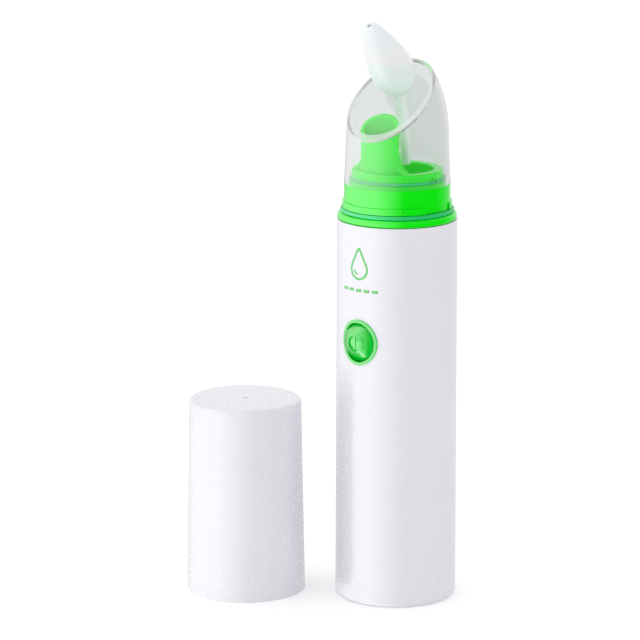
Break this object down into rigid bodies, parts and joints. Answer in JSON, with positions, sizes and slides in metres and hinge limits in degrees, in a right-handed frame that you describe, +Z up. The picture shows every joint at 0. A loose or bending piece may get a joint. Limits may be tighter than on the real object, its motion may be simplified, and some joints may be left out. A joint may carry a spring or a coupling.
{
  "type": "nasal aspirator",
  "caption": "Hand-held battery nasal aspirator: white round handle, green suction base, clear slanted dome, soft nozzle and separate cap.",
  "frame": {"origin": "centre of the handle's underside", "axes": "+Z up the handle; -Y is the front, with the power button, towards which the soft nozzle leans; +X to the right seen from the front"},
  "size_m": [0.0924, 0.0762, 0.2174],
  "materials": {
    "white_shell": "gloss white moulded plastic",
    "green_gloss": "gloss bright green moulded plastic",
    "teal_seal": "satin deep green elastomer",
    "button_green": "gloss mid green moulded plastic",
    "clear_plastic": "clear moulded plastic",
    "silicone": "frosted translucent silicone",
    "grey_plastic": "matte grey moulded plastic",
    "black_plastic": "matte black moulded plastic",
    "white_inner": "matte natural acetal",
    "black_rubber": "soft black rubber",
    "foam": "open-cell foam",
    "board_green": "coated glass-fibre board",
    "steel": "plated steel",
    "spring_plate": "nickel-plated spring steel",
    "cell_jacket": "printed foil jacket",
    "bronze": "sintered bronze",
    "ferrite": "dark ferrite",
    "copper": "enamelled copper",
    "lamination": "stacked steel laminations"
  },
  "bodies": {
    "handle": {"body_shell": "white_shell", "top_ring": "green_gloss", "collar_seal": "teal_seal", "suction_port": "grey_plastic", "port_seal": "silicone", "button_bezel": "button_green", "control_board": "board_green", "switch_body": "black_plastic", "board_components": "black_plastic", "board_screws": "steel", "chassis": "grey_plastic", "battery_tray": "grey_plastic", "battery_cell_left": "cell_jacket", "battery_cell_right": "cell_jacket", "contact_bridge": "spring_plate", "positive_contact": "spring_plate", "negative_contact": "spring_plate", "lower_contact_spring": "spring_plate", "upper_contact_spring": "spring_plate", "motor_can": "steel", "motor_endbell": "black_plastic", "motor_bushes": "bronze", "motor_magnets": "ferrite", "motor_terminals": "bronze", "motor_brushes": "bronze", "pump_case": "black_plastic", "diaphragm": "black_rubber", "valve_plate": "white_inner", "inlet_flaps": "black_rubber", "outlet_flap": "black_rubber", "pump_head": "black_plastic", "pump_screws": "steel", "suction_tube": "silicone", "exhaust_filter": "foam"},
    "rotor": {"motor_shaft": "steel", "commutator": "copper", "rotor_core": "lamination", "rotor_windings": "copper", "drive_cam": "white_inner", "drive_pin": "steel"},
    "wobble": {"wobble_plate": "white_inner"},
    "button": {"power_button": "button_green"},
    "plunger": {"switch_plunger": "black_plastic"},
    "battery_door": {"battery_door": "white_shell"},
    "cup": {"cup_base": "green_gloss", "cup_seal": "teal_seal"},
    "dome": {"dome": "clear_plastic", "drip_stem": "clear_plastic"},
    "nozzle": {"nozzle": "silicone"},
    "cap": {"protective_cap": "white_shell"}
  },
  "joints": [
    {"name": "motor_spin", "type": "hinge", "parent": "handle", "child": "rotor", "pos_m": [0, 0, 0.085], "axis": [0, 0, 1], "continuous": true},
    {"name": "wobble_turn", "type": "hinge", "parent": "rotor", "child": "wobble", "pos_m": [0, 0, 0.1062], "axis": [0.0698, 0, 0.9976], "continuous": true},
    {"name": "button_press", "type": "slide", "parent": "handle", "child": "button", "axis": [0, 1, 0], "range_m": [0, 0.0005], "stiffness_N_per_m": 2000, "springref_m": -0.0003},
    {"name": "plunger_press", "type": "slide", "parent": "handle", "child": "plunger", "axis": [0, 1, 0], "range_m": [0, 0.0005]},
    {"name": "battery_door_pull", "type": "slide", "parent": "handle", "child": "battery_door", "axis": [0, 1, 0], "range_m": [0, 0.025]},
    {"name": "cup_lift", "type": "slide", "parent": "handle", "child": "cup", "axis": [0, 0, 1], "range_m": [0, 0.03]},
    {"name": "dome_lift", "type": "slide", "parent": "cup", "child": "dome", "axis": [0, 0, 1], "range_m": [0, 0.045]},
    {"name": "nozzle_pull", "type": "slide", "parent": "dome", "child": "nozzle", "axis": [0, -0.6018, 0.7986], "range_m": [0, 0.015]},
    {"name": "cap_lift", "type": "slide", "parent": "handle", "child": "cap", "axis": [0, 0, 1], "range_m": [0, 0.226]}
  ],
  "couplings": [
    {"joint": "wobble_turn", "follows": "motor_spin", "ratio": -1},
    {"joint": "plunger_press", "follows": "button_press", "ratio": 1}
  ]
}
